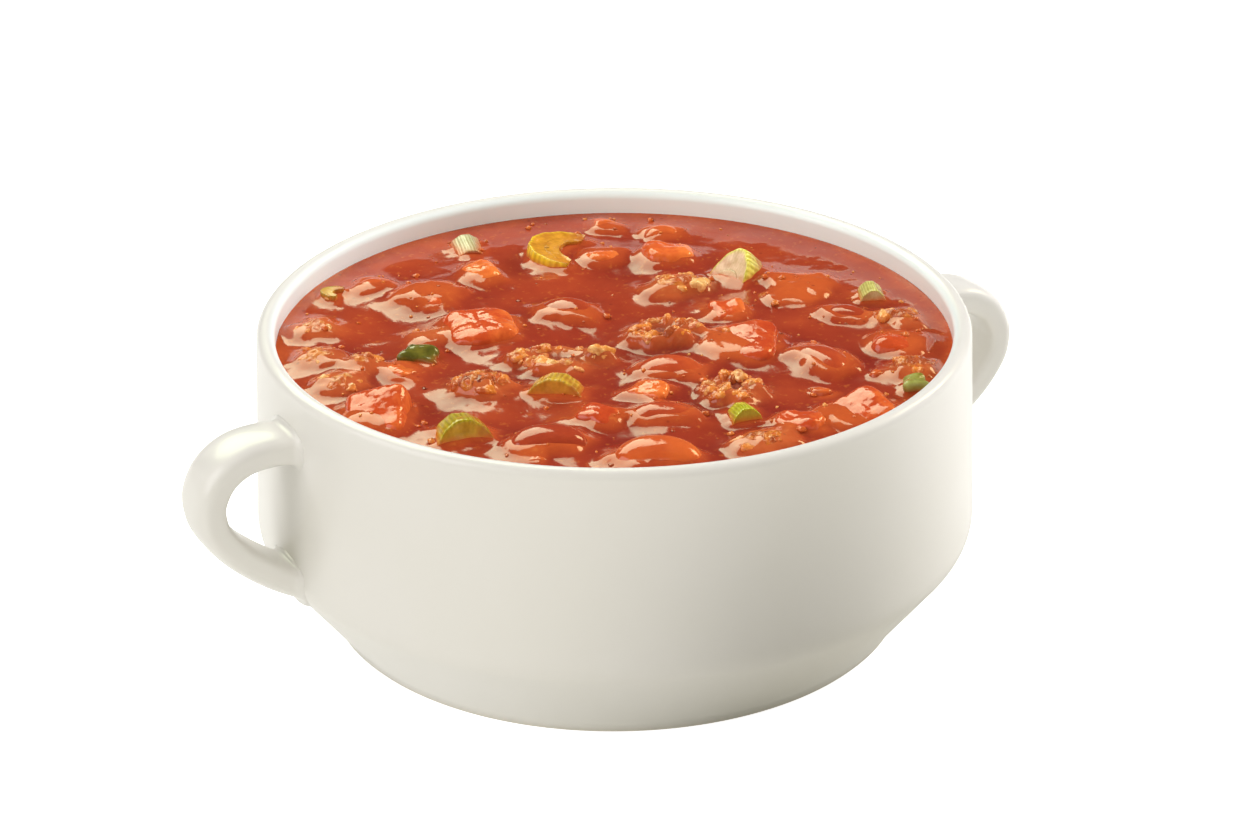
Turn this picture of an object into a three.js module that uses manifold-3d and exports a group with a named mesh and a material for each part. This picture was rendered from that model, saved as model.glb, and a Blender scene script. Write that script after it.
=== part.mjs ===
// Chili in a two-handled white soup bowl, in millimetres, +Z up.
// The origin is on the table under the middle of the bowl, and the handles lie along X.
// The sauce fills the bowl to just under the rim. Diced tomato, beans, celery, pepper
// and crumbled meat lie in it, each a piece of its own, partly sunk.
import * as THREE from 'three';
import { mergeVertices } from 'three/addons/utils/BufferGeometryUtils.js';
import Module from 'manifold-3d';

const wasm = await Module();
wasm.setup();

// Bowl
const bowlHeight = 50;
const rimRadius = 57.5;
const shoulderRadius = 58.7;
const shoulderHeight = 16;
const shoulderRound = 6;
const wallThickness = 3;
const taperThickness = 3.2;
const floorTop = 5;
const floorRound = 6;
const innerShoulderRound = 9;
const footRadius = 47;
const footBand = 1.1;
const footEdge = 0.5;
const footInnerRadius = 41;
const footRecess = 1.6;
const segments = 60;
const lipSteps = 6;
const shoulderSteps = 4;
const innerSteps = 2;

// Handles, as a centreline of distances from the bowl's axis and heights above the table
const handleLine = [
  [52, 40.2], [57, 40.7], [61.3, 41.3], [66.1, 40.7], [69.8, 38.4], [71.8, 34.8],
  [71.9, 31.6], [70.8, 28.5], [67.5, 24.3], [62.3, 20], [57.3, 17], [52, 14.4],
];
const handleThickness = 4.9;
const handleWidth = 10.2;
const handleFlare = 1.35;
const handleFlareReach = 5;
const handleSides = 10;
const handleSteps = 18;

// Sauce
const sauceLevel = 45.6;
const clearance = 0.32;
const pocketClearance = 0.38;
const wallCreep = 0.7;
const wallCreepReach = 1.6;
const swellHeight = 0.22;

// Celery slices
const sliceBevel = 0.5;
const ribDepth = 0.965;

// Colours
const colours = {
  ceramic: 0xe4e0d2,
  sauce: 0xae3f2c,
  tomato: 0xc84a2c,
  bean: 0x9c3326,
  celery: 0xa8a53a,
  pepper: 0x7f9230,
  meat: 0x9a5232,
};

// Pieces: where each lies, how long, wide and tall it is, how far it stands out of the sauce,
// its turn about the vertical, and how far it leans over. All lengths in millimetres, turns in degrees.
const tomatoes = [
  { at: [-45, -8], size: [9.5, 10.5, 9.4], rise: 4.3, turn: -52, lean: [-16, 4] },
  { at: [-36.1, 4.6], size: [4.8, 5.3, 5], rise: 1.7, turn: 18, lean: [0, 8] },
  { at: [-19.4, 30.3], size: [11, 11, 8], rise: 2.2, turn: -47, lean: [-5, 0] },
  { at: [-7.2, 34.3], size: [6, 7, 6], rise: 2.4, turn: 8, lean: [0, 0] },
  { at: [-17.5, 13.2], size: [12.5, 12, 9], rise: 3, turn: -17, lean: [4, -4] },
  { at: [14, 30.8], size: [7.5, 6, 6], rise: 1.9, turn: -22, lean: [0, 5] },
  { at: [-16, -25.4], size: [5.5, 6.5, 5.5], rise: 2.3, turn: 33, lean: [0, -10] },
  { at: [-4.8, -21.3], size: [6.5, 5.5, 5.5], rise: 2.4, turn: -52, lean: [6, -8] },
  { at: [17.1, -11.7], size: [12, 12.5, 9], rise: 3.1, turn: -52, lean: [6, -8] },
  { at: [21.5, 0.7], size: [6.5, 6.5, 6], rise: 2.3, turn: -12, lean: [8, 0] },
  { at: [36.4, 3.7], size: [11.5, 15.5, 8], rise: 1.4, turn: -37, lean: [0, -4] },
  { at: [24, 26.1], size: [9, 8, 7], rise: 2.8, turn: -22, lean: [0, 6] },
  { at: [21.2, 43.2], size: [5.5, 4.5, 5], rise: 1.4, turn: -32, lean: [0, 0] },
  { at: [38.6, -24], size: [9, 8.5, 8], rise: 2.6, turn: -42, lean: [-4, 6] },
  { at: [19.4, -44], size: [10.4, 7.5, 7], rise: 2.3, turn: 3, lean: [-6, -10] },
  { at: [10.1, -42.3], size: [7.4, 6.5, 6], rise: 2.5, turn: -37, lean: [4, -6] },
];
const beans = [
  { at: [-25.5, 38.5], size: [8, 5.5, 6], rise: 1.5, turn: 18, lean: [0, 0] },
  { at: [-27.2, -30], size: [12.5, 7.2, 7], rise: 3.2, turn: -19, lean: [10, 0] },
  { at: [-2, 13.1], size: [11.5, 8, 7], rise: 2.5, turn: -52, lean: [10, 0] },
  { at: [-14.6, -42], size: [14, 7.8, 7.5], rise: 3.4, turn: -26, lean: [8, 2] },
  { at: [-7.1, -29.7], size: [12, 7, 6.5], rise: 2.4, turn: -30, lean: [8, 0] },
  { at: [1.9, -15.6], size: [12.5, 7.5, 7], rise: 2.8, turn: -35, lean: [10, 0] },
  { at: [27.9, 35.5], size: [7.5, 5.5, 5.5], rise: 1.8, turn: -12, lean: [0, 0] },
  { at: [25.1, -23.5], size: [12.5, 8, 7], rise: 2.8, turn: -80, lean: [-8, 0] },
  { at: [38, -9.7], size: [8.3, 5.5, 6], rise: 1.9, turn: -52, lean: [0, 0] },
];
const celerySlices = [
  { at: [-33.1, 38.3], size: [4.6, 3.4, 4], rise: 1.4, turn: 48, stands: false, lean: [0, 0] },
  { at: [-4.2, 45.7], size: [7, 5, 5.5], rise: 2.2, turn: -12, stands: true, lean: [10, 0] },
  { at: [-37.3, -21.1], size: [10.5, 7.5, 5.5], rise: 4, turn: -14, stands: true, lean: [-12, 0] },
  { at: [-17.5, -13.8], size: [11, 6.5, 4.5], rise: 3.4, turn: -37, stands: true, lean: [-10, 0] },
  { at: [7.1, 36.7], size: [14, 8.5, 5.5], rise: 2.8, turn: 50, stands: false, lean: [8, 0] },
  { at: [30.2, 13.1], size: [12, 7.5, 7], rise: 3.3, turn: -112, stands: false, lean: [-12, 0] },
  { at: [45.3, -5.2], size: [5.4, 4.4, 4.4], rise: 2.7, turn: -22, stands: true, lean: [0, 0] },
  { at: [3.6, -36.2], size: [6.2, 5.4, 4.4], rise: 2.9, turn: -12, stands: true, lean: [-10, 0] },
];
const peppers = [
  { at: [-30.7, 8.2], size: [6.2, 5, 4.6], rise: 2.4, turn: -37, lean: [0, 10] },
  { at: [32.9, -39.1], size: [4.4, 4, 4.4], rise: 2.4, turn: -22, lean: [0, -8] },
];
const meatCrumbles = [
  { at: [-45.4, 15.3], size: [7, 6.5, 6], rise: 2.3, turn: 8, lean: [0, 0] },
  { at: [-40, 9.5], size: [5.5, 6, 6.5], rise: 2.8, turn: 8, lean: [0, 0] },
  { at: [-46.4, 4.3], size: [8, 7, 6], rise: 2.3, turn: -22, lean: [0, 0] },
  { at: [-41, 26.6], size: [6, 7, 6], rise: 2, turn: 28, lean: [0, 0] },
  { at: [-26.5, 14.5], size: [5, 5, 4.5], rise: 1.4, turn: -2, lean: [0, 0] },
  { at: [-27.3, -6.5], size: [9.8, 8.5, 7.5], rise: 3.4, turn: -32, lean: [0, -8] },
  { at: [-11.6, -3.6], size: [15.5, 8, 7], rise: 3.4, turn: -27, lean: [-6, 0] },
  { at: [7.4, -2.8], size: [11, 9, 8], rise: 3.8, turn: -22, lean: [0, 0] },
  { at: [19, 13.3], size: [10, 7.5, 7], rise: 2.9, turn: -17, lean: [0, 0] },
  { at: [44.4, -15.6], size: [7.8, 6, 6], rise: 2.6, turn: -52, lean: [0, 0] },
  { at: [36, -33.6], size: [9, 5.6, 6.5], rise: 3, turn: -2, lean: [0, 0] },
  { at: [1.7, -46.1], size: [10, 6, 6], rise: 2.6, turn: -7, lean: [0, 0] },
  { at: [6.4, -27.8], size: [9.4, 7.5, 7], rise: 3.5, turn: -22, lean: [0, 0] },
];
const smallBits = [
  { at: [-31.1, -33.9], size: [3.2, 2, 2.4], rise: 0.9, turn: -22, lean: [0, 0] },
  { at: [30, -32], size: [2.6, 2.4, 2.4], rise: 1.2, turn: -2, lean: [0, 0] },
  { at: [19.2, -33.3], size: [3.4, 2.6, 2.6], rise: 1, turn: -27, lean: [0, 0] },
];

// A repeatable random number from 0 to 1 for a seed.
function draw(seed) {
  const value = Math.sin(seed * 127.1 + 11.7) * 43758.5453;
  return value - Math.floor(value);
}

// Joins shared corners and drops the triangles that shrink to a line at an axis or a seam.
function cleaned(geometry) {
  const bare = geometry.clone();
  bare.deleteAttribute('normal');
  bare.deleteAttribute('uv');
  const merged = mergeVertices(bare, 1e-4);
  const kept = [];
  for (let i = 0; i < merged.index.count; i += 3) {
    const [a, b, c] = [0, 1, 2].map((k) => merged.index.getX(i + k));
    if (a !== b && b !== c && c !== a) kept.push(a, b, c);
  }
  merged.setIndex(kept);
  return merged;
}

function solidFrom(geometry) {
  const merged = cleaned(geometry);
  return new wasm.Manifold(new wasm.Mesh({
    numProp: 3,
    vertProperties: Float32Array.from(merged.attributes.position.array),
    triVerts: Uint32Array.from(merged.index.array),
  }));
}

function geometryFrom(solid) {
  const mesh = solid.getMesh();
  const geometry = new THREE.BufferGeometry();
  geometry.setAttribute('position', new THREE.BufferAttribute(mesh.vertProperties, 3));
  geometry.setIndex(new THREE.BufferAttribute(mesh.triVerts, 1));
  geometry.computeVertexNormals();
  return geometry;
}

// The largest body of a solid, without the loose scraps that a cut can leave.
function largestBody(solid) {
  return solid.decompose().sort((a, b) => b.volume() - a.volume())[0];
}

// A profile of [radius, height] pairs turned about the vertical axis.
function turned(profile) {
  const points = profile.map(([radius, height]) => new THREE.Vector2(radius, height));
  return new THREE.LatheGeometry(points, segments).rotateX(Math.PI / 2);
}

// The arc that rounds a corner between two straight lines, as steps + 1 points.
function roundedCorner(before, corner, after, radius, steps) {
  const p = new THREE.Vector2(...corner);
  const u = new THREE.Vector2(...before).sub(p).normalize();
  const v = new THREE.Vector2(...after).sub(p).normalize();
  const half = Math.acos(u.dot(v)) / 2;
  const reach = radius / Math.tan(half);
  const centre = p.clone().addScaledVector(u.clone().add(v).normalize(), radius / Math.sin(half));
  const from = p.clone().addScaledVector(u, reach).sub(centre);
  const to = p.clone().addScaledVector(v, reach).sub(centre);
  const sweep = Math.atan2(from.cross(to), from.dot(to));
  const points = [];
  for (let i = 0; i <= steps; i++) {
    const angle = (sweep * i) / steps;
    const spoke = from.clone().rotateAround(new THREE.Vector2(), angle).add(centre);
    points.push([spoke.x, spoke.y]);
  }
  return points;
}

// The inside of the bowl from just under the lip down to the middle of the floor, moved in by a gap.
function innerLine(gap) {
  const taper = new THREE.Vector2(shoulderRadius - footRadius, shoulderHeight - footBand).normalize();
  const offset = taperThickness + gap;
  const start = [footRadius - taper.y * offset, footBand + taper.x * offset];
  const wallInner = shoulderRadius - wallThickness - gap;
  const shoulder = [wallInner, start[1] + ((wallInner - start[0]) * taper.y) / taper.x];
  const floor = floorTop + gap;
  const heel = [start[0] + ((floor - start[1]) * taper.x) / taper.y, floor];
  const lip = [rimRadius - wallThickness - gap, bowlHeight - wallThickness / 2];
  return {
    lip,
    below: [
      ...roundedCorner(lip, shoulder, heel, innerShoulderRound, innerSteps),
      ...roundedCorner(shoulder, heel, [0, floor], floorRound, innerSteps),
      [0, floor],
    ],
  };
}

function bowlProfile() {
  const lipRound = wallThickness / 2;
  const lipCentre = [rimRadius - lipRound, bowlHeight - lipRound];
  const foot = [footRadius, footBand];
  const shoulder = [shoulderRadius, shoulderHeight];
  const lip = [];
  for (let i = 0; i <= lipSteps; i++) {
    const angle = (Math.PI * i) / lipSteps;
    lip.push([lipCentre[0] + lipRound * Math.cos(angle), lipCentre[1] + lipRound * Math.sin(angle)]);
  }
  return [
    [0, footRecess],
    [footInnerRadius - footRecess, footRecess],
    [footInnerRadius, 0],
    [footRadius - footEdge, 0],
    [footRadius, footEdge],
    foot,
    ...roundedCorner(foot, shoulder, lip[0], shoulderRound, shoulderSteps),
    ...lip,
    ...innerLine(0).below,
  ];
}

// One loop handle: an oval section carried along the centreline, wider where it meets the wall.
function handle(side) {
  const line = handleLine.map(([reach, height]) => new THREE.Vector3(side * reach, 0, height));
  const path = new THREE.CatmullRomCurve3(line);
  const section = new THREE.Shape();
  section.absellipse(0, 0, handleWidth / 2, handleThickness / 2, 0, 2 * Math.PI);
  const geometry = new THREE.ExtrudeGeometry(section, {
    extrudePath: path,
    steps: handleSteps,
    curveSegments: handleSides / 2,
  });
  const place = geometry.attributes.position;
  for (let i = 0; i < place.count; i++) {
    const reach = Math.hypot(place.getX(i), place.getY(i)) - rimRadius;
    const nearness = THREE.MathUtils.clamp(1 - reach / handleFlareReach, 0, 1);
    place.setY(i, place.getY(i) * (1 + (handleFlare - 1) * nearness * nearness));
  }
  return geometry;
}

// The space that ends in the middle of the wall, for trimming the handles' roots.
function wallMiddle() {
  return turned([
    [0, 8],
    [shoulderRadius - wallThickness, shoulderHeight - 6],
    [shoulderRadius - wallThickness / 2, shoulderHeight + 1],
    [rimRadius - wallThickness / 2, bowlHeight],
    [0, bowlHeight],
  ]);
}

function bowl() {
  const core = solidFrom(wallMiddle());
  const handles = [-1, 1].map((side) => solidFrom(handle(side)).subtract(core));
  const body = solidFrom(turned(bowlProfile()));
  return handles.reduce((whole, loop) => whole.add(loop), body);
}

// How far the sauce's surface stands over its level: low swells, and a creep up the wall.
function sauceRise(x, y) {
  const wall = rimRadius - wallThickness - clearance;
  const creep = wallCreep * Math.exp((Math.hypot(x, y) - wall) / wallCreepReach);
  const swell = Math.sin(x * 0.31 + 0.6) * Math.cos(y * 0.27 - 0.4) + 0.6 * Math.sin(x * 0.17 - y * 0.43);
  return creep + swellHeight * swell;
}

function sauceBody() {
  const inner = innerLine(clearance);
  const wallFoot = inner.below[0];
  const share = (sauceLevel - wallFoot[1]) / (inner.lip[1] - wallFoot[1]);
  const edge = wallFoot[0] + (inner.lip[0] - wallFoot[0]) * share;
  const rings = [edge, edge - 2, 38, 20, 0];
  const top = rings.map((radius) => [radius, sauceLevel]);
  const geometry = turned([...inner.below.reverse(), ...top]);
  const place = geometry.attributes.position;
  for (let i = 0; i < place.count; i++) {
    if (place.getZ(i) > sauceLevel - 1e-3) {
      place.setZ(i, sauceLevel + sauceRise(place.getX(i), place.getY(i)));
    }
  }
  return solidFrom(geometry);
}

// A lumpy rounded body. The power runs from 2, an egg, to 4 and more, a block with rounded edges.
function lump(piece, pocket, { power, lumps, around, down, bend = 0 }) {
  const geometry = new THREE.SphereGeometry(1, around, down).rotateX(Math.PI / 2);
  const place = geometry.attributes.position;
  const half = piece.size.map((side) => side / 2 + (pocket ? pocketClearance : 0));
  const n = new THREE.Vector3();
  for (let i = 0; i < place.count; i++) {
    n.fromBufferAttribute(place, i);
    const sum = Math.abs(n.x) ** power + Math.abs(n.y) ** power + Math.abs(n.z) ** power;
    const bumps = Math.sin(3.1 * n.x + 2.3 * n.z + 6.3 * draw(piece.seed))
      + Math.sin(2.7 * n.y - 3.7 * n.x + 6.3 * draw(piece.seed + 1))
      + Math.sin(4.3 * n.z + 3.3 * n.y + 6.3 * draw(piece.seed + 2));
    const reach = sum ** (-1 / power) * (1 + (lumps * bumps) / 3);
    const x = n.x * reach * half[0];
    const curl = bend * half[1] * ((x / half[0]) ** 2 - 0.4);
    place.setXYZ(i, x, n.y * reach * half[1] - curl, n.z * reach * half[2]);
  }
  return geometry;
}

// A slice of a ribbed stalk: a crescent, long across its tips, as wide as its bow and as tall as it is thick.
// Its pocket is a plain half disc, a little larger.
function crescent(piece, pocket) {
  const [length, width, thickness] = piece.size;
  const gap = pocket ? pocketClearance * 1.4 : 0;
  const steps = pocket ? 6 : 8;
  const bevel = pocket ? 0 : Math.min(sliceBevel, length * 0.05);
  const outline = [];
  for (let i = 0; i <= steps; i++) {
    const angle = (Math.PI * i) / steps;
    const rib = i % 2 === 0 || pocket ? 1 : ribDepth;
    const reach = new THREE.Vector2((length / 2 + gap) * Math.cos(angle), (width + gap) * Math.sin(angle));
    outline.push(reach.multiplyScalar(rib));
  }
  for (let i = 0; i <= 4 && !pocket; i++) {
    const angle = Math.PI - (Math.PI * i) / 4;
    outline.push(new THREE.Vector2(length * 0.25 * Math.cos(angle), width * 0.34 * Math.sin(angle)));
  }
  if (pocket) outline.push(new THREE.Vector2(-length / 2 - gap, -gap), new THREE.Vector2(length / 2 + gap, -gap));
  const depth = thickness + 2 * gap - 2 * bevel;
  const geometry = new THREE.ExtrudeGeometry(new THREE.Shape(outline), {
    depth,
    bevelEnabled: !pocket,
    bevelThickness: bevel,
    bevelSize: bevel,
    bevelOffset: -bevel,
    bevelSegments: 1,
  });
  geometry.translate(0, -width / 2, -depth / 2);
  if (piece.stands) geometry.rotateX(Math.PI / 2);
  return geometry;
}

const makers = {
  tomato: (piece, pocket) => lump(piece, pocket, { power: 4.2, lumps: 0.07, around: 8, down: 4 }),
  bean: (piece, pocket) => lump(piece, pocket, { power: 2.3, lumps: 0.02, around: 10, down: 5, bend: 0.28 }),
  celery: crescent,
  pepper: (piece, pocket) => lump(piece, pocket, { power: 3.2, lumps: 0.06, around: 8, down: 4 }),
  meat: (piece, pocket) => lump(piece, pocket, { power: 2.5, lumps: 0.18, around: 10, down: 5 }),
  bit: (piece, pocket) => lump(piece, pocket, { power: 2.6, lumps: 0.1, around: 6, down: 4 }),
};

// A piece's shape where it lies: leaned, turned, and with its highest point at its rise over the sauce.
// With pocket set it is the hollow that the piece leaves in the sauce.
function laid(piece, pocket) {
  const [leanX, leanY] = piece.lean.map(THREE.MathUtils.degToRad);
  const turn = THREE.MathUtils.degToRad(piece.turn);
  const pose = (geometry) => geometry.rotateX(leanX).rotateY(leanY).rotateZ(turn);
  const bare = pose(makers[piece.kind](piece, false));
  bare.computeBoundingBox();
  const lift = sauceLevel + piece.rise - bare.boundingBox.max.z;
  const shape = pocket ? pose(makers[piece.kind](piece, true)) : bare;
  return shape.translate(piece.at[0], piece.at[1], lift);
}

function named(kind, label, entries, material) {
  return entries.map((entry, i) => ({
    ...entry,
    kind,
    name: `${label}_${i + 1}`,
    seed: label.length * 7 + i * 3,
    material,
  }));
}

function finish(colour, roughness) {
  return new THREE.MeshStandardMaterial({ color: colour, roughness, metalness: 0 });
}

const pieces = [
  ...named('tomato', 'tomato', tomatoes, finish(colours.tomato, 0.25)),
  ...named('bean', 'bean', beans, finish(colours.bean, 0.2)),
  ...named('celery', 'celery', celerySlices, finish(colours.celery, 0.3)),
  ...named('pepper', 'pepper', peppers, finish(colours.pepper, 0.25)),
  ...named('meat', 'meat', meatCrumbles, finish(colours.meat, 0.35)),
  ...named('bit', 'bit', smallBits, finish(colours.tomato, 0.25)),
];

const group = new THREE.Group();

function add(name, geometry, material) {
  const mesh = new THREE.Mesh(geometry, material);
  mesh.name = name;
  group.add(mesh);
}

add('bowl', geometryFrom(bowl()), finish(colours.ceramic, 0.12));

const pockets = pieces.map((piece) => solidFrom(laid(piece, true)));
const sauce = pockets.reduce((rest, pocket) => rest.subtract(pocket), sauceBody());
add('chili_sauce', geometryFrom(largestBody(sauce)), finish(colours.sauce, 0.15));

for (const piece of pieces) {
  add(piece.name, cleaned(laid(piece, false)), piece.material);
}

export default group;
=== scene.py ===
# A white two-handled bowl of chili, dressed for a render: glazed bowl, sauce, and each piece of food.
# All shapes are worked out in millimetres and written in metres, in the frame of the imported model.
import math
import bpy
import numpy as np
from mathutils import Matrix, Vector


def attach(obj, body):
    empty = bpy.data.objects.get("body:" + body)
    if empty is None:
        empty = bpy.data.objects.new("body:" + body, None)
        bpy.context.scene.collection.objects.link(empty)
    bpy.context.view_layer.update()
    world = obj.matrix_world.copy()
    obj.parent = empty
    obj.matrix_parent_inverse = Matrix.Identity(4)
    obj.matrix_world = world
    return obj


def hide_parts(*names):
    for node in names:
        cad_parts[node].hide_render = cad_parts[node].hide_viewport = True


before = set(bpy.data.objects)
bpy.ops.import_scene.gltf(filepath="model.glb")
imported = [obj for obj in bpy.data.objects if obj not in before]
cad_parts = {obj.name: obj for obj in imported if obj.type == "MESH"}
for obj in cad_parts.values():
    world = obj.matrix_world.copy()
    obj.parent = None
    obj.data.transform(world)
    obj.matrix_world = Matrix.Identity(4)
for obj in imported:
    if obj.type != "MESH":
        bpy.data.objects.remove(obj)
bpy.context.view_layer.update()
mm = 0.001


def table(columns, lines):
    # each line as a dictionary under the columns' names; a line may end with extra values of its own
    names = columns.split()
    return [dict(zip(names, line), **dict(*line[len(names):])) for line in lines]


bowlShape = {
    "height": 50, "rimRadius": 57.5, "shoulderRadius": 58.7, "shoulderHeight": 16, "shoulderRound": 6,
    "wall": 3, "taperWall": 3.2, "floorTop": 5, "floorRound": 6, "innerRound": 9,
    "footRadius": 47, "footBand": 1.1, "footEdge": 0.5, "footInner": 41, "footRecess": 1.6, "sides": 288,
}
handleShape = {
    "line": [(52, 40.2), (57, 40.7), (61.3, 41.3), (66.1, 40.7), (69.8, 38.4), (71.8, 34.8),
             (71.9, 31.6), (70.8, 28.5), (67.5, 24.3), (62.3, 20), (57.3, 17), (52, 14.4)],
    "thickness": 4.9, "width": 10.0, "innerPower": 4.6, "outerPower": 2.9, "rootStart": 54,
    "rootDepth": 1.6, "fillet": 1.3, "sides": 96, "steps": 260,
}
sauceShape = {
    "level": 45.6, "gap": 0.32, "creep": 0.25, "creepReach": 1.2, "swell": 0.2, "cells": 280,
    "skirtReach": 2.2, "meniscusReach": 0.5, "rippleSize": 2.6, "ripple": 0.05,
    "blurGain": 1.6, "warp": 0.9, "warpSize": 3.2, "uneven": 0.07, "unevenSize": 2.6, "dent": 0.5,
    "veilReach": 0.5, "veilRound": 0.12, "thinReach": 1.6, "paleness": 0.22, "paleReach": 1.5,
    "hollowReach": 3.0, "hollowDepth": 0.55, "wallClear": 0.1, "edgeSunk": 0.04,
}

# Camera: the photograph's angle in radians and its distance in metres, then turned with the handles
view = {
    "elevation": 0.4118, "distance": 0.60375, "pan": -0.003, "tilt": -0.0266, "roll": 0.005,
    "focalPixels": 3748, "widthPixels": 1250, "handleTurn": math.radians(27.6), "rimCentre": 0.050,
}

# One line for each piece: where it lies, its length, width and height, how far it stands out of the sauce, its turn
# and lean in degrees, its tone from -1 dark to 1 light, and how deep it lies under a veil of sauce, from 0 bare to
# 1 fully coated. Extra values: a power of its own, see lumpForms, and open, for a heap with a hollow in its middle.
lumpColumns = "at size rise turn lean tone veil"
tomatoes = table(lumpColumns, [
    ((-45.2, -8.6), (10.6, 10.8, 9.4), 4.8, -38, (20, -16), 0.2, 0, {"power": 6}),
    ((-36.1, 4.6), (4.8, 5.3, 5), 1.7, 18, (0, 8), 0.7, 0),
    ((-19.4, 30.3), (11, 11, 8), 2.2, -47, (-5, 0), 0.2, 1),
    ((-7.2, 34.3), (6, 7, 6), 2.4, 8, (0, 0), 1, 0.5),
    ((-17.5, 13.2), (12.5, 12, 9), 3, -17, (4, -4), 0.3, 0.4),
    ((14, 30.8), (7.5, 6, 6), 1.9, -22, (0, 5), 0.8, 0.6),
    ((-16, -25.4), (5.5, 6.5, 5.5), 2.3, 33, (0, -10), 0, 0.2),
    ((-4.8, -21.3), (6.5, 5.5, 5.5), 2.4, -52, (6, -8), 0.7, 0),
    ((17.1, -11.7), (12, 12.5, 9), 3.1, -40, (8, -7), 0, 0.3, {"power": 5}),
    ((21.5, 0.7), (6.5, 6.5, 6), 2.3, -12, (8, 0), 0.3, 0.6),
    ((36.4, 3.7), (11.5, 15.5, 8), 1.4, -37, (0, -4), 0.2, 1),
    ((24, 26.1), (9, 8, 7), 2.8, -22, (0, 6), 0.6, 0.3),
    ((21.2, 43.2), (5.5, 4.5, 5), 1.4, -32, (0, 0), 0.8, 0.6),
    ((38.6, -24), (9, 8.5, 8), 2.6, -42, (-4, 6), 0.1, 0.4),
    ((18.4, -43.7), (13.6, 9.6, 7), 3.5, 3, (5, -17), 0.1, 0, {"power": 6}),
    ((10.1, -42.3), (7.4, 6.5, 6), 2.5, -37, (4, -6), 0.1, 0),
])
beans = table(lumpColumns, [
    ((-25.5, 38.5), (8, 5.5, 6), 1.5, 18, (0, 0), 0.6, 0.8),
    ((-27.2, -30), (12.5, 7.2, 7), 3.2, -19, (10, 0), -0.5, 0.5),
    ((-2, 13.1), (11.5, 8, 7), 2.5, -52, (10, 0), -0.3, 0.8),
    ((-14.6, -42), (14, 7.8, 7.5), 3.4, -26, (8, 2), 0.7, 0.2),
    ((-7.1, -29.7), (12, 7, 6.5), 2.4, -30, (8, 0), -0.2, 0.4),
    ((1.9, -15.6), (12.5, 7.5, 7), 2.8, -35, (10, 0), 0, 0.5),
    ((27.9, 35.5), (7.5, 5.5, 5.5), 1.8, -12, (0, 0), 1, 0.5),
    ((25.1, -23.5), (12.5, 8, 7), 2.5, -80, (-8, 0), -0.1, 0.6),
    ((38, -9.7), (8.3, 5.5, 6), 1.9, -52, (0, 0), -0.4, 0.4),
])
# A slice stands on its rim or lies flat. Hollow is the depth of its inner curve as a share of its width, and face and
# rim are its colours.
# The pale faces of the second and sixth slices are partly painted highlight.
celerySlices = table("at size rise turn stands lean hollow face rim", [
    ((-33.1, 38.3), (4.6, 3.4, 4), 1.4, 48, False, (0, 0), 0.34, (0.62, 0.5, 0.08), (0.45, 0.45, 0.05)),
    ((-4.2, 45.7), (7, 5, 5.5), 2.2, -12, True, (10, 0), 0.34, (0.82, 0.66, 0.48), (0.58, 0.55, 0.30)),
    ((-37.3, -21.1), (10.5, 7.5, 5.5), 4, -14, True, (-12, 0), 0.12, (0.56, 0.33, 0.022), (0.48, 0.38, 0.018)),
    ((-17.5, -13.8), (11, 6.5, 4.5), 3.4, -37, True, (-10, 0), 0.25, (0.64, 0.28, 0.03), (0.68, 0.42, 0.04)),
    ((7.1, 36.7), (14, 8.5, 5.5), 2.8, 50, False, (8, 0), 0.34, (0.76, 0.34, 0.03), (0.95, 0.64, 0.03)),
    ((30.6, 13.4), (7.6, 8.8, 5.6), 5.2, -72, False, (50, 4), 0.08, (0.90, 0.66, 0.40), (0.86, 0.80, 0.12)),
    ((45.3, -5.2), (5.4, 4.4, 4.4), 2.7, -22, True, (0, 0), 0.34, (0.74, 0.62, 0.32), (0.64, 0.60, 0.16)),
    ((3.6, -36.2), (6.2, 5.4, 4.4), 2.9, -12, True, (-10, 0), 0.34, (0.50, 0.42, 0.05), (0.56, 0.56, 0.03)),
])
peppers = table(lumpColumns, [
    ((-30.7, 8.2), (6.2, 5, 4.6), 2.4, -37, (0, 10), -0.35, 0),
    ((32.9, -39.1), (4.4, 4, 4.4), 2.4, -22, (0, -8), 0.7, 0, {"power": 6}),
])
# The first four heaps' high tones make them mostly pale, partly painted glints.
meatCrumbles = table(lumpColumns, [
    ((-45.4, 15.3), (7, 6.5, 6), 2.3, 8, (0, 0), 1.1, 0.82),
    ((-40, 9.5), (5.5, 6, 6.5), 2.8, 8, (0, 0), 0.9, 0.85),
    ((-46.4, 4.3), (8, 7, 6), 2.3, -22, (0, 0), 1.0, 0.84),
    ((-41, 26.6), (6, 7, 6), 2, 28, (0, 0), 0.9, 0.86),
    ((-26.5, 14.5), (5, 5, 4.5), 1.4, -2, (0, 0), 0.3, 0.9),
    ((-27.3, -6.5), (9.8, 8.5, 7.5), 3.4, -32, (0, -8), -0.1, 0.9),
    ((-11.6, -3.6), (15.5, 8, 7), 3.4, -27, (-6, 0), 0.7, 0.86, {"open": True}),
    ((7.4, -2.8), (11, 9, 8), 3.8, -22, (0, 0), 0.25, 0.88, {"open": True}),
    ((19, 13.3), (10, 7.5, 7), 2.9, -17, (0, 0), 0.9, 0.88),
    ((44.4, -15.6), (7.8, 6, 6), 2.6, -52, (0, 0), 0.4, 0.84),
    ((36, -33.6), (9, 5.6, 6.5), 3, -2, (0, 0), 0.3, 0.84),
    ((1.7, -46.1), (10, 6, 6), 2.6, -7, (0, 0), 0.2, 0.86),
    ((6.4, -27.8), (9.4, 7.5, 7), 3.5, -22, (0, 0), 0.2, 0.87, {"open": True}),
])
smallBits = table(lumpColumns, [
    ((-31.1, -33.9), (3.2, 2, 2.4), 0.9, -22, (0, 0), 1, 0),
    ((30, -32), (2.6, 2.4, 2.4), 1.2, -2, (0, 0), 1, 0),
    ((19.2, -33.3), (3.4, 2.6, 2.6), 1, -27, (0, 0), 0.9, 0),
])
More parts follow.
